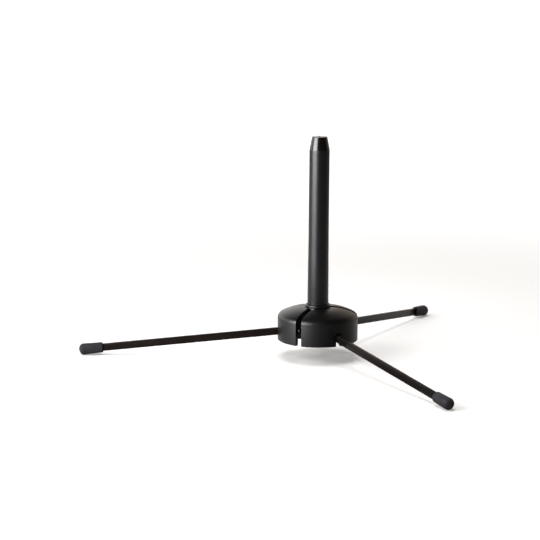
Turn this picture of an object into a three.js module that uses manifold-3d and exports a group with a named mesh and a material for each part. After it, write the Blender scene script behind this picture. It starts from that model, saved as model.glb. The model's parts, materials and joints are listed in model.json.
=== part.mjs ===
// A folding tabletop tripod with one upright peg. A hollow domed cap and the peg are drawn together by a centre
// bolt onto a leg carrier, whose three clevises hold the flat-bar legs on brass pins. The open legs bear on
// notches in the cap's rim. The slots between them let the legs swing up beside the peg once the cap is turned.
// Millimetres, +Z up. The stand rests on z = 0, centred on its own footprint. The legs point to 180, 60 and -60
// degrees, and each leg is drawn in a frame of its own with its pin at the origin and +X along the bar.
import * as THREE from "three";
import { mergeVertices } from "three/addons/utils/BufferGeometryUtils.js";
import Module from "manifold-3d";

const wasm = await Module();
wasm.setup();

// Driving dimensions
const TOTAL_HEIGHT = 177.5;
const PEG_RADIUS = 8;
const HUB_RADIUS = 32;
const HUB_WALL = 4;
const HUB_RISE = 26.6; // rim to the flat that the collar sits on
const RIM_HEIGHT = 14.7; // underside of the hub cap above the floor
const FOOT_REACH = 191; // peg axis to the tip of a foot cap
const PIVOT_RADIUS = 15; // peg axis to a leg pin
const PIVOT_HEIGHT = 22.8;
const BAR_WIDTH = 2.5;
const BAR_HEIGHT = 6;
const FOOT_RADIUS = 4.5;
const FOOT_LENGTH = 19.2;
const SLOT_WIDTH = 4.7;
const CAP_TURN = THREE.MathUtils.degToRad(1.4); // the legs' play in their notches lets the cap stand slightly turned

// Clearances
const SEAT_GAP = 0.3; // between pieces that sit on each other
const PIN_GAP = 0.1; // round a leg pin
const THREAD_GAP = 0.2; // between the bolt and its insert
const SIDE_GAP = 0.15; // each side of a friction washer

// Hub
const COLLAR_RADIUS = 10;
const COLLAR_HEIGHT = 1.9;
const SHOULDER_FILLET = 5;
const SHOULDER_RISE = 17.2; // rim to the start of the shoulder's rounding
const DOME_EDGE_RISE = SHOULDER_RISE + 4.4;
const DOME_EDGE_RADIUS = HUB_RADIUS - 2.6;
const CEILING_THICKNESS = 3.6;
const NOTCH_HEIGHT = 10.1;
const CAP_TOP = RIM_HEIGHT + HUB_RISE;
const BOSS_BOTTOM = RIM_HEIGHT + 15.1;

// Leg carrier
const CARRIER_BOTTOM = RIM_HEIGHT + 1.3;
const CARRIER_TOP = CARRIER_BOTTOM + 12;
const CARRIER_RADIUS = 10.8;
const EAR_THICKNESS = 4.4;
const EAR_REACH = 26;
const EAR_TOP = CARRIER_TOP + 4;
const EAR_STEP_RADIUS = COLLAR_RADIUS + 1.4; // the ears rise past the cap's boss outside this radius
const EAR_ROUNDING = 3.4;
const WASHER_THICKNESS = 0.5;
const CLEVIS_HALF_GAP = BAR_WIDTH / 2 + WASHER_THICKNESS + 2 * SIDE_GAP;
const PIN_RADIUS = 1.1;
const PIN_PROUD = 0.35; // pin end beyond the ear's outer face
const PIN_HALF_LENGTH = CLEVIS_HALF_GAP + EAR_THICKNESS + PIN_PROUD;

// Centre bolt
const BOLT_RADIUS = 3;
const BOLT_HOLE_RADIUS = BOLT_RADIUS + SEAT_GAP;
const BOLT_HEAD_RADIUS = 5;
const BOLT_HEAD_HEIGHT = 3.5;
const BOLT_LENGTH = 36;
const BOLT_HEAD_BOTTOM = CARRIER_BOTTOM + 0.8;
const BOLT_HEAD_TOP = BOLT_HEAD_BOTTOM + BOLT_HEAD_HEIGHT;
const SOCKET_ACROSS_CORNERS = 4.6;
const SOCKET_DEPTH = 2.2;
const FLAT_WASHER_RADIUS = 6.1;
const FLAT_WASHER_BOTTOM = BOLT_HEAD_TOP + 0.2;
const FLAT_WASHER_TOP = FLAT_WASHER_BOTTOM + 1.1;
const WAVE_WASHER_THICKNESS = 0.4;
const WAVE_AMPLITUDE = 0.3;

// Peg
const COLLAR_BOTTOM = CAP_TOP + SEAT_GAP;
const COLLAR_TOP = COLLAR_BOTTOM + COLLAR_HEIGHT;
const PEG_BASE_RADIUS = PEG_RADIUS + 0.45;
const RECESS_DEPTH = 0.6; // the peg's foot is centred in the top of the collar
const RECESS_RADIUS = PEG_BASE_RADIUS + SEAT_GAP;
const PEG_BOTTOM = COLLAR_TOP - RECESS_DEPTH + SEAT_GAP;
const NOSE_LENGTH = 10.4;
const NOSE_TIP_RADIUS = 6.1;
const INSERT_RADIUS = 5.5;
const INSERT_LENGTH = 14;
const TOP_HOLE_RADIUS = 1.2;
const TOP_HOLE_DEPTH = 6;

// Legs: the bar runs from its pin to the foot cap, whose side touches the floor where its domed end begins.
const FOOT_DOME = 3.6;
const FOOT_CENTRE_RADIUS = FOOT_REACH - FOOT_DOME;
const LEG_SLOPE = Math.atan2(PIVOT_HEIGHT - FOOT_RADIUS, FOOT_CENTRE_RADIUS - PIVOT_RADIUS);
const FOOT_CENTRE = (FOOT_CENTRE_RADIUS - PIVOT_RADIUS) / Math.cos(LEG_SLOPE);
const FOOT_INNER_END = FOOT_CENTRE + FOOT_DOME - FOOT_LENGTH;
const BAR_END = FOOT_CENTRE - 2.5;
const LEGS = { left: Math.PI, rear: Math.PI / 3, front: -Math.PI / 3 };

const material = (color, roughness, metalness) => new THREE.MeshStandardMaterial({ color, roughness, metalness });
const blackMoulding = () => material(0x17171a, 0.45, 0);
const satinPeg = () => material(0x19191c, 0.4, 0);
const paintedSteel = () => material(0x1a1715, 0.5, 0.3);
const rubber = () => material(0x26262b, 0.8, 0);
const brass = () => material(0xc9a45c, 0.3, 1);
const plainSteel = () => material(0x9a9a98, 0.35, 1);
const blackSpringSteel = () => material(0x141414, 0.4, 0.6);
const blackNylon = () => material(0x0f0f10, 0.6, 0);

function toSolid(geometry) {
  const bare = geometry.clone();
  bare.deleteAttribute("normal");
  bare.deleteAttribute("uv");
  const merged = mergeVertices(bare, 1e-4);
  const triVerts = new Uint32Array(merged.index.array);
  const vertProperties = merged.attributes.position.array;
  return new wasm.Manifold(new wasm.Mesh({ numProp: 3, vertProperties, triVerts }));
}

function toGeometry(solid) {
  const { vertProperties, triVerts } = solid.getMesh();
  const geometry = new THREE.BufferGeometry();
  geometry.setAttribute("position", new THREE.BufferAttribute(vertProperties, 3));
  geometry.setIndex(new THREE.BufferAttribute(triVerts, 1));
  geometry.computeVertexNormals();
  return geometry;
}

const cut = (solid, tools) => tools.reduce((left, tool) => left.subtract(toSolid(tool)), solid);
const join = (solid, pieces) => pieces.reduce((left, piece) => left.add(toSolid(piece)), solid);

// A turned shape about Z from its outline in radius and height, drawn anticlockwise.
const turned = (outline, segments) => new THREE.LatheGeometry(outline, segments).rotateX(Math.PI / 2);
const points = (...pairs) => pairs.map(([radius, height]) => new THREE.Vector2(radius, height));

const ringOutline = (inner, outer, bottom, top) =>
  points([inner, bottom], [outer, bottom], [outer, top], [inner, top], [inner, bottom]);

const cylinder = (radius, bottom, top, segments) =>
  turned(points([0, bottom], [radius, bottom], [radius, top], [0, top]), segments);

// A box that runs outwards along +X between two radii and two heights.
function radialBox(width, inner, outer, bottom, top) {
  const box = new THREE.BoxGeometry(outer - inner, width, top - bottom);
  return box.translate((inner + outer) / 2, 0, (bottom + top) / 2);
}

// A plate of the given thickness that stands on edge: its outline is in X and Z, and y is its middle.
function edgePlate(shape, thickness, y, curveSegments) {
  const plate = new THREE.ExtrudeGeometry(shape, { depth: thickness, bevelEnabled: false, curveSegments });
  return plate.rotateX(Math.PI / 2).translate(0, y + thickness / 2, 0);
}

const crossCylinder = (radius, halfLength, segments) =>
  cylinder(radius, -halfLength, halfLength, segments).rotateX(Math.PI / 2);

const namedMesh = (name, geometry, look) => {
  const mesh = new THREE.Mesh(geometry, look);
  mesh.name = name;
  return mesh;
};

function capOutline() {
  const innerWall = HUB_RADIUS - HUB_WALL;
  const ceiling = CAP_TOP - CEILING_THICKNESS;
  const shoulder = RIM_HEIGHT + SHOULDER_RISE;
  const domeEdge = RIM_HEIGHT + DOME_EDGE_RISE;
  const rimRounding = 0.8;
  const outline = new THREE.Path();
  outline.moveTo(BOLT_HOLE_RADIUS, BOSS_BOTTOM);
  outline.lineTo(COLLAR_RADIUS, BOSS_BOTTOM);
  outline.lineTo(COLLAR_RADIUS, ceiling);
  outline.quadraticCurveTo(19, ceiling - 0.9, innerWall - 3, domeEdge - CEILING_THICKNESS);
  outline.quadraticCurveTo(innerWall, domeEdge - CEILING_THICKNESS - 1.5, innerWall, shoulder - 2);
  outline.lineTo(innerWall, RIM_HEIGHT);
  outline.lineTo(HUB_RADIUS - rimRounding, RIM_HEIGHT);
  outline.quadraticCurveTo(HUB_RADIUS, RIM_HEIGHT, HUB_RADIUS, RIM_HEIGHT + rimRounding);
  outline.lineTo(HUB_RADIUS, shoulder);
  outline.quadraticCurveTo(HUB_RADIUS, domeEdge - 1.2, DOME_EDGE_RADIUS, domeEdge);
  outline.quadraticCurveTo(21, CAP_TOP - 0.9, COLLAR_RADIUS, CAP_TOP);
  outline.lineTo(BOLT_HOLE_RADIUS, CAP_TOP);
  outline.lineTo(BOLT_HOLE_RADIUS, BOSS_BOTTOM);
  return outline.getPoints(4);
}

function hubCap() {
  const legAngles = Object.values(LEGS);
  const beyond = HUB_RADIUS + 2;
  const notchTop = RIM_HEIGHT + NOTCH_HEIGHT;
  const slots = legAngles.map((angle) =>
    radialBox(SLOT_WIDTH, COLLAR_RADIUS, beyond, 0, CAP_TOP + 1).rotateZ(angle + Math.PI),
  );
  const notches = legAngles.map((angle) =>
    radialBox(SLOT_WIDTH, HUB_RADIUS - HUB_WALL - 2, beyond, 0, notchTop).rotateZ(angle),
  );
  const shell = toSolid(turned(capOutline(), 54));
  return toGeometry(cut(shell, [...slots, ...notches]));
}

function earShape() {
  const inner = CARRIER_RADIUS - 6;
  const shape = new THREE.Shape();
  shape.moveTo(inner, CARRIER_BOTTOM);
  shape.lineTo(EAR_REACH - EAR_ROUNDING, CARRIER_BOTTOM);
  shape.absarc(EAR_REACH - EAR_ROUNDING, CARRIER_BOTTOM + EAR_ROUNDING, EAR_ROUNDING, -Math.PI / 2, 0);
  shape.absarc(EAR_REACH - EAR_ROUNDING, EAR_TOP - EAR_ROUNDING, EAR_ROUNDING, 0, Math.PI / 2);
  shape.lineTo(EAR_STEP_RADIUS, EAR_TOP);
  shape.lineTo(EAR_STEP_RADIUS, CARRIER_TOP);
  shape.lineTo(inner, CARRIER_TOP);
  return shape;
}

function legCarrier() {
  const earMiddle = CLEVIS_HALF_GAP + EAR_THICKNESS / 2;
  const counterboreRadius = FLAT_WASHER_RADIUS + SEAT_GAP;
  const barrel = toSolid(cylinder(CARRIER_RADIUS, CARRIER_BOTTOM, CARRIER_TOP, 40));
  const ears = [];
  const holes = [];
  for (const angle of Object.values(LEGS)) {
    for (const side of [-1, 1]) {
      ears.push(edgePlate(earShape(), EAR_THICKNESS, side * earMiddle, 5).rotateZ(angle));
    }
    const hole = crossCylinder(PIN_RADIUS + PIN_GAP, PIN_HALF_LENGTH + 1, 24);
    holes.push(hole.translate(PIVOT_RADIUS, 0, PIVOT_HEIGHT).rotateZ(angle));
  }
  const counterbore = cylinder(counterboreRadius, 0, FLAT_WASHER_TOP + SEAT_GAP, 36);
  const boltHole = cylinder(BOLT_HOLE_RADIUS, 0, CARRIER_TOP + 1, 32);
  return toGeometry(cut(join(barrel, ears), [...holes, counterbore, boltHole]));
}

function centreBolt() {
  const tip = BOLT_HEAD_TOP + BOLT_LENGTH;
  const outline = points(
    [0, BOLT_HEAD_BOTTOM],
    [BOLT_HEAD_RADIUS - 0.4, BOLT_HEAD_BOTTOM],
    [BOLT_HEAD_RADIUS, BOLT_HEAD_BOTTOM + 0.4],
    [BOLT_HEAD_RADIUS, BOLT_HEAD_TOP],
    [BOLT_RADIUS, BOLT_HEAD_TOP],
    [BOLT_RADIUS, tip - 0.8],
    [BOLT_RADIUS - 0.8, tip],
    [0, tip],
  );
  const socket = cylinder(SOCKET_ACROSS_CORNERS / 2, 0, BOLT_HEAD_BOTTOM + SOCKET_DEPTH, 6);
  return toGeometry(cut(toSolid(turned(outline, 32)), [socket]));
}

// A flat ring bent into three waves round its circumference.
function waveWasher() {
  const middle = (CARRIER_TOP + BOSS_BOTTOM - WAVE_WASHER_THICKNESS) / 2;
  const outline = ringOutline(BOLT_HOLE_RADIUS + 0.2, COLLAR_RADIUS - 1.6, 0, WAVE_WASHER_THICKNESS);
  const ring = turned(outline, 48);
  const position = ring.getAttribute("position");
  for (let i = 0; i < position.count; i++) {
    const angle = Math.atan2(position.getY(i), position.getX(i));
    position.setZ(i, position.getZ(i) + middle + WAVE_AMPLITUDE * Math.sin(3 * angle));
  }
  return ring;
}

function pegOutline() {
  const noseBottom = TOTAL_HEIGHT - NOSE_LENGTH;
  const pocketRadius = INSERT_RADIUS + THREAD_GAP;
  const pocketTop = PEG_BOTTOM + INSERT_LENGTH + 2 * SEAT_GAP;
  return points(
    [0, pocketTop],
    [pocketRadius, pocketTop],
    [pocketRadius, PEG_BOTTOM],
    [PEG_BASE_RADIUS, PEG_BOTTOM],
    [PEG_RADIUS + 0.15, PEG_BOTTOM + 36],
    [PEG_RADIUS, PEG_BOTTOM + 56],
    [PEG_RADIUS, noseBottom],
    [NOSE_TIP_RADIUS + 0.12, TOTAL_HEIGHT - 0.4],
    [NOSE_TIP_RADIUS - 0.3, TOTAL_HEIGHT],
    [TOP_HOLE_RADIUS, TOTAL_HEIGHT],
    [TOP_HOLE_RADIUS, TOTAL_HEIGHT - TOP_HOLE_DEPTH],
    [0, TOTAL_HEIGHT - TOP_HOLE_DEPTH],
  );
}

function collarOutline() {
  const rounding = 0.7;
  const outline = new THREE.Path();
  outline.moveTo(BOLT_HOLE_RADIUS, COLLAR_BOTTOM);
  outline.lineTo(COLLAR_RADIUS, COLLAR_BOTTOM);
  outline.lineTo(COLLAR_RADIUS, COLLAR_TOP - rounding);
  outline.absarc(COLLAR_RADIUS - rounding, COLLAR_TOP - rounding, rounding, 0, Math.PI / 2);
  outline.lineTo(RECESS_RADIUS, COLLAR_TOP);
  outline.lineTo(RECESS_RADIUS, COLLAR_TOP - RECESS_DEPTH);
  outline.lineTo(BOLT_HOLE_RADIUS, COLLAR_TOP - RECESS_DEPTH);
  outline.lineTo(BOLT_HOLE_RADIUS, COLLAR_BOTTOM);
  return outline.getPoints(4);
}

function insertOutline() {
  const bottom = PEG_BOTTOM + SEAT_GAP;
  return ringOutline(BOLT_RADIUS + THREAD_GAP, INSERT_RADIUS, bottom, bottom + INSERT_LENGTH);
}

function legBar() {
  const half = BAR_HEIGHT / 2;
  const shape = new THREE.Shape();
  shape.moveTo(0, -half);
  shape.lineTo(BAR_END, -half);
  shape.lineTo(BAR_END, half);
  shape.lineTo(0, half);
  shape.absarc(0, 0, half, Math.PI / 2, -Math.PI / 2);
  shape.holes.push(new THREE.Path().absarc(0, 0, PIN_RADIUS + PIN_GAP, 0, 2 * Math.PI, true));
  return edgePlate(shape, BAR_WIDTH, 0, 12);
}

function footCap() {
  const outline = new THREE.Path();
  const innerRadius = FOOT_RADIUS - 0.35;
  outline.moveTo(0, FOOT_INNER_END);
  outline.lineTo(innerRadius - 0.8, FOOT_INNER_END);
  outline.quadraticCurveTo(innerRadius, FOOT_INNER_END, innerRadius, FOOT_INNER_END + 0.8);
  outline.lineTo(FOOT_RADIUS, FOOT_CENTRE);
  outline.absellipse(0, FOOT_CENTRE, FOOT_RADIUS, FOOT_DOME, 0, Math.PI / 2);
  // The lathe runs the outline round from -Z to +Z, and the cap's axis is then laid along the leg.
  const body = toSolid(turned(outline.getPoints(3), 24).rotateY(Math.PI / 2));
  const pocketLength = BAR_END + SEAT_GAP - FOOT_INNER_END;
  const pocket = new THREE.BoxGeometry(2 * pocketLength, BAR_WIDTH + 2 * SEAT_GAP, BAR_HEIGHT + 2 * SEAT_GAP);
  return toGeometry(cut(body, [pocket.translate(FOOT_INNER_END, 0, 0)]));
}

// One side's friction washer, between the bar and the ear of its clevis.
function frictionWasher(side) {
  const middle = side * (BAR_WIDTH / 2 + SIDE_GAP + WASHER_THICKNESS / 2);
  const half = WASHER_THICKNESS / 2;
  const outline = ringOutline(PIN_RADIUS + PIN_GAP, BAR_HEIGHT / 2 - 0.1, -half, half);
  return turned(outline, 24).rotateX(Math.PI / 2).translate(0, middle, 0);
}

function leg(name, angle) {
  const tilted = new THREE.Group();
  tilted.position.set(PIVOT_RADIUS, 0, PIVOT_HEIGHT);
  tilted.rotation.y = LEG_SLOPE;
  tilted.add(
    namedMesh(`leg_bar_${name}`, legBar(), paintedSteel()),
    namedMesh(`foot_cap_${name}`, footCap(), rubber()),
    namedMesh(`leg_washer_${name}_a`, frictionWasher(-1), blackNylon()),
    namedMesh(`leg_washer_${name}_b`, frictionWasher(1), blackNylon()),
  );
  const pin = namedMesh(`pivot_pin_${name}`, crossCylinder(PIN_RADIUS, PIN_HALF_LENGTH, 24), brass());
  pin.position.copy(tilted.position);
  const spoke = new THREE.Group();
  spoke.rotation.z = angle;
  spoke.add(tilted, pin);
  return spoke;
}

const stand = new THREE.Group();
const cap = namedMesh("hub_cap", hubCap(), blackMoulding());
cap.rotation.z = CAP_TURN;
stand.add(
  cap,
  namedMesh("leg_carrier", legCarrier(), blackMoulding()),
  namedMesh("centre_bolt", centreBolt(), plainSteel()),
  namedMesh(
    "bolt_washer",
    turned(ringOutline(BOLT_HOLE_RADIUS, FLAT_WASHER_RADIUS, FLAT_WASHER_BOTTOM, FLAT_WASHER_TOP), 32),
    plainSteel(),
  ),
  namedMesh("wave_washer", waveWasher(), blackSpringSteel()),
  namedMesh("peg_collar", turned(collarOutline(), 40), blackMoulding()),
  namedMesh("peg", turned(pegOutline(), 40), satinPeg()),
  namedMesh("peg_insert", turned(insertOutline(), 32), brass()),
  ...Object.entries(LEGS).map(([name, angle]) => leg(name, angle)),
);

// The finished stand is moved so that its feet touch z = 0 and the origin is the middle of its footprint.
const part = new THREE.Group();
part.add(stand);
part.updateMatrixWorld(true);
const bounds = new THREE.Box3().setFromObject(stand, true);
stand.position.set(-(bounds.min.x + bounds.max.x) / 2, 0, -bounds.min.z);

export default part;
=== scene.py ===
"""A folding tabletop tripod with an upright peg, dressed for display.

Every piece is built at full size in metres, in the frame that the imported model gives. Turned pieces share one
node tree that spins an outline round its axis. The slotted cap is swept column by column, so that its slots
and notches have clean edges that can be rounded. Bars and clevis ears are flat plates with rounded outlines.
"""

import json
import math

import bmesh
import bpy
from mathutils import Matrix, Vector


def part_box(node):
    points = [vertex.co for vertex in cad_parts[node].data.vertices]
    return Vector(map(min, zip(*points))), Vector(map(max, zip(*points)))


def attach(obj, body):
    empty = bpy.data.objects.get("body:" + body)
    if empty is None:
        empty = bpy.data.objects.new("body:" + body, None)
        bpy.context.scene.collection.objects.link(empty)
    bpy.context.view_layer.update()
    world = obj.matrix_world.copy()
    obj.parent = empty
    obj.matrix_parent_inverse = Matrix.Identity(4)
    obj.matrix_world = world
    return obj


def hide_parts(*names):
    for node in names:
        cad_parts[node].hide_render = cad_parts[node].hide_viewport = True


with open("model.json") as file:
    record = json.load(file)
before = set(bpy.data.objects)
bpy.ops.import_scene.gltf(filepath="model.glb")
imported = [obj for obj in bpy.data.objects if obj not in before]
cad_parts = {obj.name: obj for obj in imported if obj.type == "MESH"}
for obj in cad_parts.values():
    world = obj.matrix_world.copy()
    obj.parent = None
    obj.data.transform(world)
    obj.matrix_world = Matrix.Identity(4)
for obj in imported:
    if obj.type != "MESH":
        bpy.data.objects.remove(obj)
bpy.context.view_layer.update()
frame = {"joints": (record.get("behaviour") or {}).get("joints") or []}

MM = 0.001

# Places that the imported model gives
PEG_LOW, PEG_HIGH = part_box("peg")
AXIS = Vector(((PEG_LOW.x + PEG_HIGH.x) / 2, (PEG_LOW.y + PEG_HIGH.y) / 2, 0))
PEG_BOTTOM = PEG_LOW.z
PEG_TOP = PEG_HIGH.z
CAP_LOW, CAP_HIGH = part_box("hub_cap")
RIM = CAP_LOW.z
CAP_TOP = CAP_HIGH.z
HUB_RADIUS = CAP_HIGH.y
CARRIER_LOW, CARRIER_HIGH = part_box("leg_carrier")
COLLAR_LOW, COLLAR_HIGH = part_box("peg_collar")
COLLAR_RADIUS = (COLLAR_HIGH.x - COLLAR_LOW.x) / 2
NOSE_BOTTOM = PEG_TOP - 10.4 * MM
BOLT_LOW, BOLT_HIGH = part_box("centre_bolt")
FOOT_REACH = AXIS.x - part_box("foot_cap_left")[0].x
HINGES = {joint["child"].removeprefix("leg_"): Vector(joint["pos_m"]) for joint in frame["joints"]}

# Sizes of the cap
HUB_WALL = 4 * MM
CEILING_THICKNESS = 3.6 * MM
SLOT_WIDTH = 4.7 * MM
NOTCH_TOP = RIM + 10.1 * MM
BOSS_BOTTOM = RIM + 15.1 * MM
SHOULDER_FILLET = 4.7 * MM
CAP_EDGE_ROUNDING = 0.35 * MM
CAP_TURN = math.radians(1.4)
BOLT_HOLE_RADIUS = 3.3 * MM

# Sizes of the legs and their pins
BAR_WIDTH = 2.5 * MM
BAR_HEIGHT = 6 * MM
BAR_EDGE = 0.32 * MM
FOOT_RADIUS = 4.5 * MM
FOOT_INNER_RADIUS = 4.15 * MM
FOOT_LENGTH = 19.2 * MM
FOOT_DOME = 3.6 * MM
PIN_RADIUS = 1.1 * MM
PIN_GAP = 0.06 * MM
WASHER_THICKNESS = 0.5 * MM
SIDE_GAP = 0.15 * MM
EAR_THICKNESS = 4.4 * MM
PIN_PROUD = 0.35 * MM
CLEVIS_HALF_GAP = BAR_WIDTH / 2 + WASHER_THICKNESS + 2 * SIDE_GAP
PIVOT_RADIUS = (HINGES["left"] - AXIS).xy.length
PIVOT_HEIGHT = HINGES["left"].z
FOOT_CENTRE_RADIUS = FOOT_REACH - FOOT_DOME
LEG_SLOPE = math.atan2(PIVOT_HEIGHT - FOOT_RADIUS, FOOT_CENTRE_RADIUS - PIVOT_RADIUS)
FOOT_CENTRE = (FOOT_CENTRE_RADIUS - PIVOT_RADIUS) / math.cos(LEG_SLOPE)
FOOT_INNER_END = FOOT_CENTRE + FOOT_DOME - FOOT_LENGTH
BAR_END = FOOT_CENTRE - 2.5 * MM
POCKET_END = FOOT_CENTRE - 2.2 * MM

# Camera and light
LENS = 136.44
CAMERA_FROM_AXIS = Vector((-12.4, -1596.6, 377.5)) * MM
CAMERA_FORWARD = Vector((-0.0157, 0.9818, -0.1891))
CAMERA_ROLL = 0.0066
IMAGE_SIZE = 540
LENS_SHIFT = 0.5 / IMAGE_SIZE
COOL_WHITE = (0.95, 0.96, 1)
SOFT_WHITE = (1, 0.99, 0.98)


# Node trees

class Number:
    """A number socket whose Python operators add Math nodes to its tree."""

    def __init__(self, tree, socket):
        self.tree = tree
        self.socket = socket

    def maths(self, operation, first, second=0.0):
        made = self.tree.add("ShaderNodeMath", {"operation": operation}, {0: first, 1: second})
        return Number(self.tree, made.outputs[0])

    def __add__(self, other):
        return self.maths("ADD", self, other)

    def __sub__(self, other):
        return self.maths("SUBTRACT", self, other)

    def __mul__(self, other):
        return self.maths("MULTIPLY", self, other)

    def __truediv__(self, other):
        return self.maths("DIVIDE", self, other)

    def __mod__(self, other):
        return self.maths("MODULO", self, other)

    def __pow__(self, other):
        return self.maths("POWER", self, other)

    def __rsub__(self, other):
        return self.maths("SUBTRACT", other, self)

    __radd__ = __add__
    __rmul__ = __mul__

    def floor(self):
        return self.maths("FLOOR", self)

    def cos(self):
        return self.maths("COSINE", self)

    def sin(self):
        return self.maths("SINE", self)

    def over(self, low, high):
        """0 below low, 1 above high and a smooth rise between."""
        settings = {"interpolation_type": "SMOOTHSTEP"}
        inputs = {"Value": self, "From Min": low, "From Max": high}
        made = self.tree.add("ShaderNodeMapRange", settings, inputs)
        return Number(self.tree, made.outputs[0])


class Tree:
    """Adds nodes to a shader or geometry tree, with their settings first and then their inputs."""

    def __init__(self, nodes, links):
        self.nodes = nodes
        self.links = links

    def add(self, kind, settings=None, inputs=None):
        node = self.nodes.new(kind)
        for name, value in (settings or {}).items():
            setattr(node, name, value)
        for name, value in (inputs or {}).items():
            self.feed(node.inputs[name], value)
        return node

    def feed(self, socket, value):
        source = value.socket if isinstance(value, Number) else value
        if isinstance(source, bpy.types.NodeSocket):
            self.links.new(source, socket)
        else:
            socket.default_value = source

    def number(self, kind, settings=None, inputs=None, output=0):
        return Number(self, self.add(kind, settings, inputs).outputs[output])

    def axes(self, vector):
        split = self.add("ShaderNodeSeparateXYZ", None, {0: vector})
        return [Number(self, output) for output in split.outputs]

    def vector(self, x, y, z):
        return self.add("ShaderNodeCombineXYZ", None, {0: x, 1: y, 2: z}).outputs[0]


class Finish(Tree):
    """A material whose surface is one Principled shader."""

    def __init__(self, name, **constants):
        self.material = bpy.data.materials.new(name)
        self.material.use_nodes = True
        tree = self.material.node_tree
        super().__init__(tree.nodes, tree.links)
        self.shader = tree.nodes["Principled BSDF"]
        for socket, value in constants.items():
            self.shader.inputs[socket.replace("_", " ")].default_value = value

    def place(self):
        return self.add("ShaderNodeTexCoord").outputs["Object"]

    def own_place(self, attribute):
        return self.add("ShaderNodeAttribute", {"attribute_name": attribute}).outputs["Vector"]

    def moved(self, place, scale):
        return self.add("ShaderNodeMapping", None, {"Vector": place, "Scale": scale}).outputs[0]

    def noise(self, place, scale, detail=3.0, roughness=0.5):
        inputs = {"Vector": place, "Scale": scale, "Detail": detail, "Roughness": roughness}
        return self.number("ShaderNodeTexNoise", None, inputs)

    def blend(self, factor, first, second):
        inputs = {0: factor, 6: (*first, 1) if isinstance(first, tuple) else first, 7: (*second, 1)}
        return self.add("ShaderNodeMix", {"data_type": "RGBA"}, inputs).outputs[2]

    def colour(self, value):
        self.feed(self.shader.inputs["Base Color"], value)

    def roughness(self, value):
        self.feed(self.shader.inputs["Roughness"], value)

    def relief(self, height, depth, strength=1.0):
        inputs = {"Height": height, "Distance": depth, "Strength": strength}
        self.feed(self.shader.inputs["Normal"], self.add("ShaderNodeBump", None, inputs).outputs[0])


# Finishes

def moulded_black():
    finish = Finish("moulded_black", IOR=1.36)
    place = finish.place()
    cloud = finish.noise(place, scale=55, detail=4)
    grain = finish.noise(place, scale=1500, detail=2)
    finish.colour(finish.blend(cloud.over(0.35, 0.7), (0.0024, 0.0024, 0.0027), (0.0038, 0.0038, 0.0042)))
    finish.roughness(0.31 + 0.10 * cloud + 0.06 * grain)
    finish.relief(grain, depth=0.05 * MM, strength=0.6)
    return finish.material


def satin_peg():
    finish = Finish("satin_peg", IOR=1.4)
    place = finish.place()
    nose = finish.axes(place)[2].over(NOSE_BOTTOM - 0.4 * MM, NOSE_BOTTOM + 0.2 * MM)
    mottle = finish.noise(finish.moved(place, (1, 1, 0.55)), scale=620, detail=3)
    cloud = finish.noise(place, scale=90, detail=3)
    shaft = 1 - nose
    finish.colour(finish.blend(cloud.over(0.3, 0.7), (0.003, 0.0028, 0.0028), (0.0046, 0.0044, 0.0046)))
    finish.roughness(0.23 + (0.17 * mottle + 0.05 * cloud) * shaft)
    finish.relief(mottle * (0.15 + 0.85 * shaft), depth=0.12 * MM, strength=0.45)
    return finish.material


def bar_paint():
    finish = Finish("bar_paint", IOR=1.22, Specular_Tint=(1, 0.84, 0.76, 1))
    place = finish.own_place("bar_place")
    drawn = finish.noise(finish.moved(place, (0.04, 1, 1)), scale=1600, detail=3)
    cloud = finish.noise(place, scale=70, detail=3)
    finish.colour(finish.blend(cloud.over(0.3, 0.7), (0.0065, 0.005, 0.0044), (0.01, 0.0078, 0.0069)))
    finish.roughness(0.15 + 0.09 * drawn + 0.05 * cloud)
    finish.relief(drawn, depth=0.05 * MM, strength=0.4)
    return finish.material


def foot_rubber():
    finish = Finish("foot_rubber", IOR=1.1)
    place = finish.place()
    speckle = finish.noise(place, scale=2200, detail=2)
    cloud = finish.noise(place, scale=220, detail=3)
    finish.colour(finish.blend(cloud.over(0.3, 0.7), (0.034, 0.033, 0.038), (0.045, 0.044, 0.05)))
    finish.roughness(0.45 + 0.15 * speckle)
    finish.relief(speckle, depth=0.08 * MM, strength=0.5)
    return finish.material


def turned_metal(name, dark, bright, roughness):
    finish = Finish(name, Metallic=1.0)
    place = finish.place()
    tarnish = finish.noise(place, scale=600, detail=3)
    scratch = finish.noise(place, scale=5000, detail=2)
    finish.colour(finish.blend(tarnish.over(0.3, 0.75), dark, bright))
    finish.roughness(roughness + 0.12 * tarnish)
    finish.relief(scratch, depth=0.02 * MM, strength=0.3)
    return finish.material


def black_nylon():
    finish = Finish("black_nylon", IOR=1.5)
    place = finish.place()
    cloud = finish.noise(place, scale=300, detail=3)
    finish.colour(finish.blend(cloud, (0.006, 0.006, 0.006), (0.011, 0.011, 0.011)))
    finish.roughness(0.45 + 0.15 * cloud)
    finish.relief(cloud, depth=0.03 * MM, strength=0.3)
    return finish.material


def carrier_black():
    finish = Finish("carrier_black", IOR=1.46)
    place = finish.place()
    grain = finish.noise(place, scale=900, detail=3)
    finish.colour(finish.blend(grain, (0.0012, 0.0012, 0.0012), (0.0022, 0.0022, 0.0022)))
    finish.roughness(0.5 + 0.15 * grain)
    finish.relief(grain, depth=0.05 * MM, strength=0.3)
    return finish.material


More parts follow.
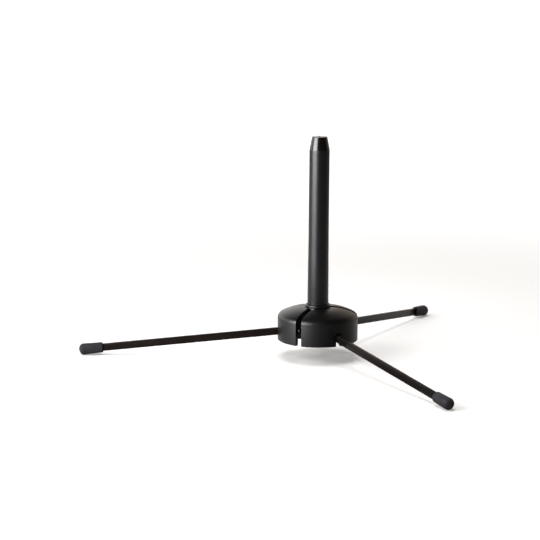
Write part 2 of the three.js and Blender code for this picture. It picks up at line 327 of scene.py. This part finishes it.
def pale_floor():
    """A white floor that glows to the camera, more so far away.

    To every other ray it is a duller white with painted shade, darkest towards the front right and most near
    the stand, so less light reaches the pieces from there.
    """
    finish = Finish("pale_floor", Specular_IOR_Level=0.0, Emission_Strength=1.0, Roughness=0.9)
    seen = finish.number("ShaderNodeLightPath", None, None, "Is Camera Ray")
    x, y, _ = finish.axes(finish.place())
    x = x - AXIS.x
    distance = (x * x + y * y) ** 0.5
    towards_front_right = (0.64 * x - 0.77 * y) / (distance + MM)
    near_the_stand = 1 - 0.6 * distance.over(0.1, 0.17)
    # painted shade: to reflected and bounced rays the floor is darker towards the front right, most near the
    # stand
    mirrored = 0.75 - 0.62 * towards_front_right.over(-0.2, 1.1) * near_the_stand
    white = 0.9
    near_glow = 0.17
    glow = near_glow + (1 - near_glow) * distance.over(0.3, 1.2)
    finish.colour(finish.blend(mirrored * (1 - seen) + white * seen, (0, 0, 0), (1, 1, 1)))
    finish.feed(finish.shader.inputs["Emission Color"], finish.blend(seen * glow, (0, 0, 0), (1, 1, 1)))
    return finish.material


# Outlines

def rounded(corners, steps=6):
    """Points of a closed outline from (x, y, fillet) corners, each filleted corner turned into an arc."""
    result = []
    for i, (x, y, fillet) in enumerate(corners):
        corner = Vector((x, y))
        if not fillet:
            result.append(corner)
            continue
        before = (Vector(corners[i - 1][:2]) - corner).normalized()
        after = (Vector(corners[(i + 1) % len(corners)][:2]) - corner).normalized()
        half = before.angle(after) / 2
        start = corner + before * fillet / math.tan(half)
        end = corner + after * fillet / math.tan(half)
        centre = corner + (before + after).normalized() * fillet / math.sin(half)
        first = start - centre
        sweep = first.angle_signed(end - centre)
        for step in range(steps + 1):
            turn = Matrix.Rotation(-sweep * step / steps, 2)
            result.append(centre + turn @ first)
    return result


def arc(centre_x, centre_y, radius_x, radius_y, start, end, steps):
    """Points of an elliptical arc between two angles."""
    result = []
    for step in range(steps + 1):
        angle = start + (end - start) * step / steps
        result.append(Vector((centre_x + radius_x * math.cos(angle), centre_y + radius_y * math.sin(angle))))
    return result


def ring_outline(inner, outer, bottom, top, edge):
    corners = [(inner, bottom, edge), (outer, bottom, edge), (outer, top, edge), (inner, top, edge)]
    return rounded(corners, steps=3)


def closed(points):
    return [*points, points[0]]


# Meshes

def mesh_of(name, vertices, edges=(), faces=()):
    mesh = bpy.data.meshes.new(name)
    mesh.from_pydata([tuple(v) for v in vertices], edges, faces)
    return mesh


def object_of(name, mesh):
    made = bpy.data.objects.new(name, mesh)
    bpy.context.collection.objects.link(made)
    return made


def settle(piece):
    """Turns a piece and its modifiers into one plain mesh."""
    graph = bpy.context.evaluated_depsgraph_get()
    mesh = bpy.data.meshes.new_from_object(piece.evaluated_get(graph), depsgraph=graph)
    piece.modifiers.clear()
    piece.data = mesh
    return piece


def round_edges(piece, width, segments=3, angle=40):
    bevel = piece.modifiers.new("rounded edges", "BEVEL")
    bevel.width = width
    bevel.segments = segments
    bevel.limit_method = "ANGLE"
    bevel.angle_limit = math.radians(angle)
    bevel.miter_outer = "MITER_ARC"
    return settle(piece)


def carve(piece, cutter):
    """Cuts one object out of another and removes the cutter."""
    cut = piece.modifiers.new("cut", "BOOLEAN")
    cut.operation = "DIFFERENCE"
    cut.solver = "EXACT"
    cut.object = cutter
    settle(piece)
    bpy.data.objects.remove(cutter)


def smooth(piece, angle=35):
    piece.data.shade_smooth()
    piece.data.set_sharp_from_angle(angle=math.radians(angle))


def plate(name, outline, holes, thickness):
    """A flat plate on edge: its outline and holes are in x and z, and its middle plane is y = 0."""
    work = bmesh.new()
    edges = []
    for loop in (outline, *holes):
        vertices = [work.verts.new((p.x, -thickness / 2, p.y)) for p in loop]
        edges += [work.edges.new((vertices[i - 1], vertices[i])) for i in range(len(vertices))]
    bmesh.ops.triangle_fill(work, use_beauty=True, use_dissolve=True, edges=edges)
    sides = bmesh.ops.extrude_face_region(work, geom=work.faces[:])
    far = [g for g in sides["geom"] if isinstance(g, bmesh.types.BMVert)]
    bmesh.ops.translate(work, vec=(0, thickness, 0), verts=far)
    bmesh.ops.recalc_face_normals(work, faces=work.faces[:])
    mesh = bpy.data.meshes.new(name)
    work.to_mesh(mesh)
    work.free()
    return object_of(name, mesh)


def block(name, size, centre):
    """A plain box, only ever used as a cutter."""
    work = bmesh.new()
    bmesh.ops.create_cube(work, size=1)
    place = Matrix.LocRotScale(Vector(centre), None, Vector(size))
    bmesh.ops.transform(work, matrix=place, verts=work.verts[:])
    mesh = bpy.data.meshes.new(name)
    work.to_mesh(mesh)
    work.free()
    return object_of(name, mesh)


# Turned pieces

def geometry_tree(name, inputs):
    """A geometry node tree with the given inputs after its geometry, as (name, socket type, default)."""
    group = bpy.data.node_groups.new(name, "GeometryNodeTree")
    group.interface.new_socket("Geometry", in_out="INPUT", socket_type="NodeSocketGeometry")
    group.interface.new_socket("Geometry", in_out="OUTPUT", socket_type="NodeSocketGeometry")
    for label, kind, default in inputs:
        socket = group.interface.new_socket(label, in_out="INPUT", socket_type=kind)
        if default is not None:
            socket.default_value = default
    tree = Tree(group.nodes, group.links)
    source = tree.add("NodeGroupInput").outputs
    return group, tree, source


def finish_tree(tree, geometry, material):
    real = tree.add("GeometryNodeRealizeInstances", None, {"Geometry": geometry})
    values = {"Geometry": real.outputs[0], "Material": material}
    finished = tree.add("GeometryNodeSetMaterial", None, values)
    tree.add("NodeGroupOutput", None, {"Geometry": finished.outputs[0]})


def lathe_tree():
    """Spins an outline, given as points with x as radius and z as height, round the Z axis."""
    inputs = [("Segments", "NodeSocketInt", 96), ("Material", "NodeSocketMaterial", None)]
    group, tree, source = geometry_tree("lathe", inputs)
    rows = tree.number("GeometryNodeAttributeDomainSize", {"component": "MESH"}, {0: source["Geometry"]})
    segments = Number(tree, source["Segments"])
    grid = tree.add("GeometryNodeMeshGrid", None, {"Vertices X": segments + 1, "Vertices Y": rows})
    index = Number(tree, tree.add("GeometryNodeInputIndex").outputs[0])
    here = tree.add("GeometryNodeInputPosition").outputs[0]
    sampler = tree.add(
        "GeometryNodeSampleIndex",
        {"data_type": "FLOAT_VECTOR", "domain": "POINT"},
        {"Geometry": source["Geometry"], "Value": here, "Index": index % rows},
    )
    radius, _, height = tree.axes(sampler.outputs[0])
    angle = (index / rows).floor() / segments * math.tau
    spot = tree.vector(radius * angle.cos(), radius * angle.sin(), height)
    placed = tree.add("GeometryNodeSetPosition", None, {"Geometry": grid.outputs["Mesh"], "Position": spot})
    weld = {"Geometry": placed.outputs[0], "Distance": 1e-6}
    welded = tree.add("GeometryNodeMergeByDistance", None, weld)
    finish_tree(tree, welded.outputs[0], source["Material"])
    return group


def grown(name, base, group, **values):
    """A plain mesh object made by a node tree from its base mesh."""
    piece = object_of(name, base)
    growth = piece.modifiers.new("growth", "NODES")
    growth.node_group = group
    for item in group.interface.items_tree:
        if item.in_out == "INPUT" and item.name in values:
            growth[item.identifier] = values[item.name]
    return settle(piece)


LATHE = lathe_tree()


def turned(name, outline, finish, segments=96):
    base = mesh_of(name, [(p.x, 0, p.y) for p in outline])
    return grown(name, base, LATHE, Segments=segments, Material=finish)


def dress(piece, finish, node, body, place=None):
    """Gives a finished piece its place, its finish and its part in the frame."""
    if place is not None:
        piece.data.transform(place)
    piece.data.materials.clear()
    piece.data.materials.append(finish)
    smooth(piece)
    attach(piece, body)
    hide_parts(node)


# The cap

def dome_height(radius):
    """Height of the cap's outside at a radius: a shallow dome that steepens towards the shoulder."""
    fall = 0.0125
    out = (radius - COLLAR_RADIUS) / MM
    return CAP_TOP - fall * out * out * MM


def cap_outline():
    """Closed outline of the cap's wall, with points at the heights and radii where notches and slots end."""
    inner_wall = HUB_RADIUS - HUB_WALL
    ceiling_end = inner_wall - 4 * MM
    dome_end = HUB_RADIUS - 3.2 * MM
    steps = 14

    def along_dome(start, end, drop):
        radii = [start + (end - start) * i / steps for i in range(steps + 1)]
        return [(r, dome_height(r) - drop, 0) for r in radii]

    corners = [(BOLT_HOLE_RADIUS, BOSS_BOTTOM, 0), (COLLAR_RADIUS, BOSS_BOTTOM, 0)]
    corners += along_dome(COLLAR_RADIUS, ceiling_end, CEILING_THICKNESS)
    corners += [
        (inner_wall, dome_height(inner_wall) - CEILING_THICKNESS, 2.5 * MM),
        (inner_wall, NOTCH_TOP, 0),
        (inner_wall, RIM, 0.5 * MM),
        (HUB_RADIUS, RIM, 0.8 * MM),
        (HUB_RADIUS, NOTCH_TOP, 0),
        (HUB_RADIUS, dome_height(HUB_RADIUS), SHOULDER_FILLET),
    ]
    corners += along_dome(dome_end, COLLAR_RADIUS, 0)
    corners.append((BOLT_HOLE_RADIUS, CAP_TOP, 0))
    return rounded(corners, steps=8)


def cap_mesh():
    """The cap's wall swept round in columns whose edges follow the slots' and notches' flat sides."""
    outline = cap_outline()
    rows = len(outline)
    half = SLOT_WIDTH / 2
    sixth = math.pi / 3
    near = 1e-7
    inner_rows = {j for j, p in enumerate(outline) if p.x <= COLLAR_RADIUS + near}
    at_collar = [j for j, p in enumerate(outline) if abs(p.x - COLLAR_RADIUS) < near]
    ceiling_row, top_row = at_collar[1], at_collar[2]
    notch_rows = [j for j, p in enumerate(outline) if abs(p.y - NOTCH_TOP) < near]
    notch_start, notch_end = notch_rows
    low_rows = range(notch_start, notch_end)

    def reach(radius):
        return math.asin(half / max(radius, COLLAR_RADIUS))

    def lobe(t):
        return lambda r: reach(r) + (sixth - 2 * reach(r)) * t

    side_steps, notch_steps, slot_steps = 22, 4, 4
    lines = []
    for hinge in HINGES.values():
        spoke = (hinge - AXIS).xy
        middle = math.atan2(spoke.y, spoke.x) + CAP_TURN
        lines += [(middle, -1, lobe(1 - i / side_steps), "lobe") for i in range(side_steps)]
        lines += [(middle, 2 * i / notch_steps - 1, reach, "notch") for i in range(notch_steps)]
        lines += [(middle, 1, lobe(i / side_steps), "lobe") for i in range(side_steps)]
        lines += [(middle + sixth, 2 * i / slot_steps - 1, reach, "slot") for i in range(slot_steps)]

    lines.sort(key=lambda line: (line[0] + line[1] * line[2](COLLAR_RADIUS)) % math.tau)
    work = bmesh.new()
    columns = []
    for i, (middle, side, angle_at, kind) in enumerate(lines):
        inside_slot = kind == "slot" and lines[i - 1][3] == "slot"
        column = {}
        for j, point in enumerate(outline):
            if inside_slot and j not in inner_rows:
                continue
            angle = middle + side * angle_at(point.x)
            column[j] = work.verts.new((point.x * math.cos(angle), point.x * math.sin(angle), point.y))
        columns.append(column)

    for i, (_, _, _, kind) in enumerate(lines):
        here, there = columns[i], columns[(i + 1) % len(lines)]
        for j in range(rows):
            k = (j + 1) % rows
            if kind == "slot" and not {j, k} <= inner_rows:
                continue
            if kind == "notch" and j in low_rows:
                continue
            work.faces.new((here[j], there[j], there[k], here[k]))
        if kind == "slot":
            work.faces.new((here[ceiling_row], there[ceiling_row], there[top_row], here[top_row]))
        if kind == "notch":
            work.faces.new((here[notch_start], there[notch_start], there[notch_end], here[notch_end]))
        before = lines[i - 1][3]
        if kind != before and "slot" in (kind, before):
            work.faces.new([here[j] for j in range(ceiling_row, top_row + 1)])
        if kind != before and "notch" in (kind, before):
            work.faces.new([here[j] for j in range(notch_start, notch_end + 1)])
    bmesh.ops.recalc_face_normals(work, faces=work.faces[:])
    mesh = bpy.data.meshes.new("cap_shell")
    work.to_mesh(mesh)
    work.free()
    return mesh


def make_cap(finish):
    cap = round_edges(object_of("cap_shell", cap_mesh()), CAP_EDGE_ROUNDING, angle=50)
    dress(cap, finish, "hub_cap", "hub", Matrix.Translation(AXIS))


# Pieces on the peg's axis

def make_peg(finish):
    base_radius = (PEG_HIGH.x - PEG_LOW.x) / 2
    shaft_radius = base_radius - 0.45 * MM
    nose_top_radius = 6.05 * MM
    taper_middle = PEG_BOTTOM + 36 * MM
    taper_end = PEG_BOTTOM + 56 * MM
    pocket_radius = 5.7 * MM
    pocket_top = PEG_BOTTOM + 14.6 * MM
    hole_radius = 1.2 * MM
    hole_bottom = PEG_TOP - 6 * MM
    outline = rounded([
        (0, pocket_top, 0),
        (pocket_radius, pocket_top, 0),
        (pocket_radius, PEG_BOTTOM, 0.3 * MM),
        (base_radius, PEG_BOTTOM, 0.4 * MM),
        (shaft_radius + 0.15 * MM, taper_middle, 0),
        (shaft_radius, taper_end, 0),
        (shaft_radius, NOSE_BOTTOM, 1.2 * MM),
        (nose_top_radius, PEG_TOP, 0.45 * MM),
        (hole_radius, PEG_TOP, 0.25 * MM),
        (hole_radius, hole_bottom, 0),
        (0, hole_bottom, 0),
    ])
    peg = turned("peg_shaft", outline, finish, segments=128)
    dress(peg, finish, "peg", "hub", Matrix.Translation(AXIS))


def make_collar(finish):
    recess_radius = 8.75 * MM
    recess_bottom = COLLAR_HIGH.z - 0.6 * MM
    corners = [
        (BOLT_HOLE_RADIUS, COLLAR_LOW.z, 0),
        (COLLAR_RADIUS, COLLAR_LOW.z, 0.15 * MM),
        (COLLAR_RADIUS, COLLAR_HIGH.z, 0.75 * MM),
        (recess_radius, COLLAR_HIGH.z, 0.1 * MM),
        (recess_radius, recess_bottom, 0),
        (BOLT_HOLE_RADIUS, recess_bottom, 0),
    ]
    collar = turned("collar_ring", closed(rounded(corners)), finish, segments=128)
    dress(collar, finish, "peg_collar", "hub", Matrix.Translation(AXIS))


def make_insert(finish):
    low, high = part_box("peg_insert")
    bore_radius = 3.2 * MM
    outline = ring_outline(bore_radius, (high.x - low.x) / 2, low.z, high.z, 0.3 * MM)
    insert = turned("brass_insert", closed(outline), finish, segments=64)
    dress(insert, finish, "peg_insert", "hub", Matrix.Translation(AXIS))


def make_bolt(finish):
    head_top = BOLT_LOW.z + 3.5 * MM
    head_radius = (BOLT_HIGH.x - BOLT_LOW.x) / 2
    shank_radius = 3 * MM
    socket_radius = 2.3 * MM
    socket_start = BOLT_LOW.z - MM
    socket_end = BOLT_LOW.z + 2.2 * MM
    outline = rounded([
        (0, BOLT_LOW.z, 0),
        (head_radius, BOLT_LOW.z, 0.4 * MM),
        (head_radius, head_top, 0.2 * MM),
        (shank_radius, head_top, 0.3 * MM),
        (shank_radius, BOLT_HIGH.z, 0.7 * MM),
        (0, BOLT_HIGH.z, 0),
    ], steps=4)
    bolt = turned("clamping_bolt", outline, finish, segments=72)
    socket_outline = [
        Vector((0, socket_start)),
        Vector((socket_radius, socket_start)),
        Vector((socket_radius, socket_end)),
        Vector((0, socket_end)),
    ]
    carve(bolt, turned("socket", socket_outline, finish, segments=6))
    dress(bolt, finish, "centre_bolt", "hub", Matrix.Translation(AXIS))


def make_washers(finish, spring_finish):
    low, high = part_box("bolt_washer")
    outline = ring_outline(BOLT_HOLE_RADIUS, (high.x - low.x) / 2, low.z, high.z, 0.15 * MM)
    flat = turned("flat_washer", closed(outline), finish, segments=72)
    dress(flat, finish, "bolt_washer", "hub", Matrix.Translation(AXIS))
    low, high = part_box("wave_washer")
    middle = (low.z + high.z) / 2
    amplitude = 0.3 * MM
    half = 0.2 * MM
    bore_radius = 3.5 * MM
    outline = ring_outline(bore_radius, (high.x - low.x) / 2, middle - half, middle + half, 0.08 * MM)
    wave = turned("wave_spring", closed(outline), spring_finish)
    for vertex in wave.data.vertices:
        vertex.co.z += amplitude * math.sin(3 * math.atan2(vertex.co.y, vertex.co.x))
    dress(wave, spring_finish, "wave_washer", "hub", Matrix.Translation(AXIS))


# The leg carrier

def carrier_tree():
    """Repeats a clevis ear six times round a barrel, joins them, and bores the pins' and the bolt's holes."""
    inputs = [
        ("Barrel Radius", "NodeSocketFloat", 0.01), ("Height", "NodeSocketFloat", 0.01),
        ("Ear Offset", "NodeSocketFloat", 0.004), ("Pivot Radius", "NodeSocketFloat", 0.015),
        ("Pivot Height", "NodeSocketFloat", 0.007), ("Pin Hole Radius", "NodeSocketFloat", 0.001),
        ("Counterbore Radius", "NodeSocketFloat", 0.006), ("Counterbore Depth", "NodeSocketFloat", 0.005),
        ("Bolt Hole Radius", "NodeSocketFloat", 0.003), ("Material", "NodeSocketMaterial", None),
    ]
    group, tree, source = geometry_tree("leg_carrier", inputs)

    def rod(radius, depth, vertices):
        values = {"Vertices": vertices, "Radius": radius, "Depth": depth}
        return tree.add("GeometryNodeMeshCylinder", {"fill_type": "NGON"}, values).outputs["Mesh"]

    def moved(geometry, offset, turn=(0, 0, 0)):
        values = {"Geometry": geometry, "Translation": offset, "Rotation": turn}
        return tree.add("GeometryNodeTransform", None, values).outputs[0]

    def around(geometry):
        spots = tree.add("GeometryNodeMeshCircle", {"fill_type": "NONE"}, {"Vertices": 3, "Radius": 0.001})
        index = Number(tree, tree.add("GeometryNodeInputIndex").outputs[0])
        turn = tree.vector(0.0, 0.0, index * (math.tau / 3) + math.pi)
        at_origin = {"Geometry": spots.outputs[0], "Position": (0, 0, 0)}
        centred = tree.add("GeometryNodeSetPosition", None, at_origin)
        values = {"Points": centred.outputs[0], "Instance": geometry, "Rotation": turn}
        copies = tree.add("GeometryNodeInstanceOnPoints", None, values)
        return tree.add("GeometryNodeRealizeInstances", None, {"Geometry": copies.outputs[0]}).outputs[0]

    offset = Number(tree, source["Ear Offset"])
    pair = tree.add("GeometryNodeJoinGeometry")
    for side in (-1, 1):
        tree.feed(pair.inputs[0], moved(source["Geometry"], tree.vector(0.0, offset * side, 0.0)))
    height = Number(tree, source["Height"])
    barrel = moved(rod(source["Barrel Radius"], height, 96), tree.vector(0.0, 0.0, height / 2))
    joined = tree.add("GeometryNodeMeshBoolean", {"operation": "UNION", "solver": "EXACT"},
                      {"Self Intersection": True})
    tree.feed(joined.inputs["Mesh 2"], around(pair.outputs[0]))
    tree.feed(joined.inputs["Mesh 2"], barrel)
    pivot = tree.vector(source["Pivot Radius"], 0.0, source["Pivot Height"])
    pin_hole_length, bolt_hole_length = 20 * MM, 60 * MM
    pin_hole = moved(rod(source["Pin Hole Radius"], pin_hole_length, 32), pivot, (math.pi / 2, 0, 0))
    depth = Number(tree, source["Counterbore Depth"])
    counterbore = moved(rod(source["Counterbore Radius"], depth * 2, 72), (0, 0, 0))
    bolt_hole = moved(rod(source["Bolt Hole Radius"], bolt_hole_length, 48), (0, 0, 0))
    drilled = tree.add("GeometryNodeMeshBoolean", {"operation": "DIFFERENCE", "solver": "EXACT"},
                       {"Mesh 1": joined.outputs[0]})
    for tool in (around(pin_hole), counterbore, bolt_hole):
        tree.feed(drilled.inputs["Mesh 2"], tool)
    finish_tree(tree, drilled.outputs[0], source["Material"])
    return group


def make_carrier(finish):
    height = CARRIER_HIGH.z - CARRIER_LOW.z
    barrel_radius = 10.8 * MM
    inner = 4.8 * MM
    ear_reach = 26 * MM
    step_radius = COLLAR_RADIUS + 1.4 * MM
    barrel_height = height - 4 * MM
    counterbore_radius = 6.4 * MM
    counterbore_depth = 5.9 * MM
    ear_fillet = 3.4 * MM
    corners = [
        (inner, 0, 0),
        (ear_reach, 0, ear_fillet),
        (ear_reach, height, ear_fillet),
        (step_radius, height, 0.6 * MM),
        (step_radius, barrel_height, 0.6 * MM),
        (inner, barrel_height, 0),
    ]
    ear = plate("ear", rounded(corners), [], EAR_THICKNESS)
    base = ear.data
    bpy.data.objects.remove(ear)
    carrier = grown(
        "leg_block", base, carrier_tree(),
        **{
            "Barrel Radius": barrel_radius, "Height": barrel_height,
            "Ear Offset": CLEVIS_HALF_GAP + EAR_THICKNESS / 2,
            "Pivot Radius": PIVOT_RADIUS, "Pivot Height": PIVOT_HEIGHT - CARRIER_LOW.z,
            "Pin Hole Radius": PIN_RADIUS + PIN_GAP, "Counterbore Radius": counterbore_radius,
            "Counterbore Depth": counterbore_depth, "Bolt Hole Radius": BOLT_HOLE_RADIUS, "Material": finish,
        },
    )
    place = Matrix.Translation(AXIS + Vector((0, 0, CARRIER_LOW.z)))
    dress(carrier, finish, "leg_carrier", "hub", place)


# Legs

def leg_place(name):
    """Puts a leg's own frame, pin at the origin and bar along +X, where its hinge is."""
    spoke = (HINGES[name] - AXIS).xy
    turn = Matrix.Rotation(math.atan2(spoke.y, spoke.x), 4, "Z")
    return Matrix.Translation(HINGES[name]) @ turn @ Matrix.Rotation(LEG_SLOPE, 4, "Y")


def keep_own_place(piece):
    """Stores each point's place in the leg's own frame, for patterns that follow the bar."""
    store = piece.data.attributes.new("bar_place", "FLOAT_VECTOR", "POINT")
    store.data.foreach_set("vector", [c for vertex in piece.data.vertices for c in vertex.co])


def make_bar(name, finish):
    half = BAR_HEIGHT / 2
    root = arc(0, 0, half, half, math.pi / 2, 1.5 * math.pi, 24)
    outline = [*root, Vector((BAR_END, -half)), Vector((BAR_END, half))]
    hole = arc(0, 0, PIN_RADIUS + PIN_GAP, PIN_RADIUS + PIN_GAP, 0, math.tau * 31 / 32, 31)
    bar = plate(f"bar_{name}", outline, [hole], BAR_WIDTH)
    round_edges(bar, BAR_EDGE)
    keep_own_place(bar)
    dress(bar, finish, f"leg_bar_{name}", f"leg_{name}", leg_place(name))


def make_foot(name, finish):
    lip = 0.9 * MM
    outline = rounded([
        (0, FOOT_INNER_END, 0),
        (FOOT_INNER_RADIUS, FOOT_INNER_END, lip),
        (FOOT_RADIUS, FOOT_CENTRE, 0),
    ])
    outline += arc(0, FOOT_CENTRE, FOOT_RADIUS, FOOT_DOME, 0, math.pi / 2, 14)[1:]
    foot = turned(f"foot_{name}", outline, finish, segments=64)
    along_bar = Matrix.Rotation(math.pi / 2, 4, "Y")
    foot.data.transform(along_bar)
    depth = POCKET_END - FOOT_INNER_END
    gap = 0.12 * MM
    size = (2 * depth, BAR_WIDTH + 2 * gap, BAR_HEIGHT + 2 * gap)
    carve(foot, block("pocket", size, (FOOT_INNER_END, 0, 0)))
    dress(foot, finish, f"foot_cap_{name}", f"leg_{name}", leg_place(name))


def make_pin(name, finish):
    length = CLEVIS_HALF_GAP + EAR_THICKNESS + PIN_PROUD
    dome = 0.8 * PIN_RADIUS
    outline = arc(0, dome - length, PIN_RADIUS, dome, -math.pi / 2, 0, 8)
    outline += arc(0, length - dome, PIN_RADIUS, dome, 0, math.pi / 2, 8)
    pin = turned(f"pin_{name}", outline, finish, segments=40)
    across = Matrix.Rotation(math.pi / 2, 4, "X")
    place = leg_place(name) @ across
    dress(pin, finish, f"pivot_pin_{name}", "hub", place)


def make_leg_washers(name, finish):
    half = WASHER_THICKNESS / 2
    across = Matrix.Rotation(math.pi / 2, 4, "X")
    offset = BAR_WIDTH / 2 + SIDE_GAP + half
    outline = closed(ring_outline(PIN_RADIUS + PIN_GAP, BAR_HEIGHT / 2 - 0.1 * MM, -half, half, 0.1 * MM))
    for letter, side in (("a", -1), ("b", 1)):
        washer = turned(f"washer_{name}_{letter}", outline, finish, segments=48)
        place = leg_place(name) @ Matrix.Translation((0, side * offset, 0)) @ across
        dress(washer, finish, f"leg_washer_{name}_{letter}", f"leg_{name}", place)


# Stage

def make_floor(finish):
    reach = 6
    corners = [(-reach, -reach, 0), (reach, -reach, 0), (reach, reach, 0), (-reach, reach, 0)]
    floor = object_of("floor", mesh_of("floor", corners, [], [(0, 1, 2, 3)]))
    floor.data.materials.append(finish)


def make_camera():
    data = bpy.data.cameras.new("camera")
    data.lens = LENS
    data.clip_end = 50
    data.shift_x = -LENS_SHIFT
    data.shift_y = LENS_SHIFT
    camera = object_of("camera", data)
    forward = CAMERA_FORWARD.normalized()
    level = forward.cross(Vector((0, 0, 1))).normalized()
    upright = level.cross(forward)
    right = math.cos(CAMERA_ROLL) * level + math.sin(CAMERA_ROLL) * upright
    up = math.cos(CAMERA_ROLL) * upright - math.sin(CAMERA_ROLL) * level
    turn = Matrix((right, up, -forward)).transposed().to_4x4()
    camera.matrix_world = Matrix.Translation(AXIS + CAMERA_FROM_AXIS) @ turn
    bpy.context.scene.camera = camera


def soft_light(name, place, target, size, power, tint, unseen_by):
    """A rectangular light that the rays named in unseen_by miss: "diffuse" or "glossy"."""
    data = bpy.data.lights.new(name, "AREA")
    data.shape = "RECTANGLE"
    data.size, data.size_y = size
    data.energy = power
    data.color = tint
    light = object_of(name, data)
    light.location = place
    light.rotation_euler = (Vector(target) - Vector(place)).to_track_quat("-Z", "Y").to_euler()
    light.visible_camera = False
    setattr(light, f"visible_{unseen_by}", False)


def make_surroundings():
    """A room that the camera sees as plain white.

    The pieces mirror it as bright low down behind the stand and to the left, and dark overhead and in front.
    """
    world = bpy.data.worlds.new("studio")
    world.use_nodes = True
    tree = Tree(world.node_tree.nodes, world.node_tree.links)
    direction = tree.add("ShaderNodeTexCoord").outputs["Generated"]
    x, y, z = tree.axes(direction)
    low = 1 - z.over(0.3, 0.8)
    behind = y.over(-0.2, 0.8)
    right = x.over(-0.1, 0.15)
    left = (0 - x).over(0.45, 0.95)
    seen = Number(tree, tree.add("ShaderNodeLightPath").outputs["Is Camera Ray"])
    dark = 0.06
    backdrop = 1.1
    mirrored = dark + low * (behind * (1.95 - 1.1 * right) + 1.2 * left)
    colours = {"data_type": "RGBA"}
    warm = tree.add("ShaderNodeMix", colours, {0: right, 6: (1, 0.97, 0.94, 1), 7: (1, 0.85, 0.72, 1)})
    tint = tree.add("ShaderNodeMix", colours, {0: seen, 6: warm.outputs[2], 7: (1, 1, 1, 1)})
    background = world.node_tree.nodes["Background"]
    tree.feed(background.inputs["Color"], tint.outputs[2])
    tree.feed(background.inputs["Strength"], mirrored * (1 - seen) + backdrop * seen)
    bpy.context.scene.world = world


def make_lights():
    aim = AXIS + Vector((0, 0, 0.33))
    soft_light("window", aim + Vector((-0.86, -0.6, 0)), aim, (0.95, 0.62), 44, COOL_WHITE, "diffuse")
    soft_light("overhead", AXIS + Vector((-0.1, 0.0, 0.95)), AXIS, (0.55, 0.55), 5.6, SOFT_WHITE, "glossy")
    soft_light("side", AXIS + Vector((-0.66, -0.38, 0.45)), AXIS, (0.6, 0.5), 5.5, SOFT_WHITE, "glossy")


def main():
    black = moulded_black()
    peg_black = satin_peg()
    steel = turned_metal("zinc_steel", (0.42, 0.42, 0.41), (0.62, 0.62, 0.6), 0.28)
    brass = turned_metal("turned_brass", (0.88, 0.7, 0.42), (1, 0.86, 0.62), 0.4)
    blackened = turned_metal("black_oxide", (0.004, 0.004, 0.004), (0.009, 0.009, 0.009), 0.45)
    paint, rubber, nylon = bar_paint(), foot_rubber(), black_nylon()

    make_cap(black)
    make_peg(peg_black)
    make_collar(peg_black)
    make_insert(brass)
    make_bolt(steel)
    make_washers(steel, blackened)
    make_carrier(carrier_black())
    for name in HINGES:
        make_bar(name, paint)
        make_foot(name, rubber)
        make_pin(name, brass)
        make_leg_washers(name, nylon)

    make_floor(pale_floor())
    make_camera()
    make_surroundings()
    make_lights()
    bpy.context.scene.view_settings.view_transform = "Standard"


main()
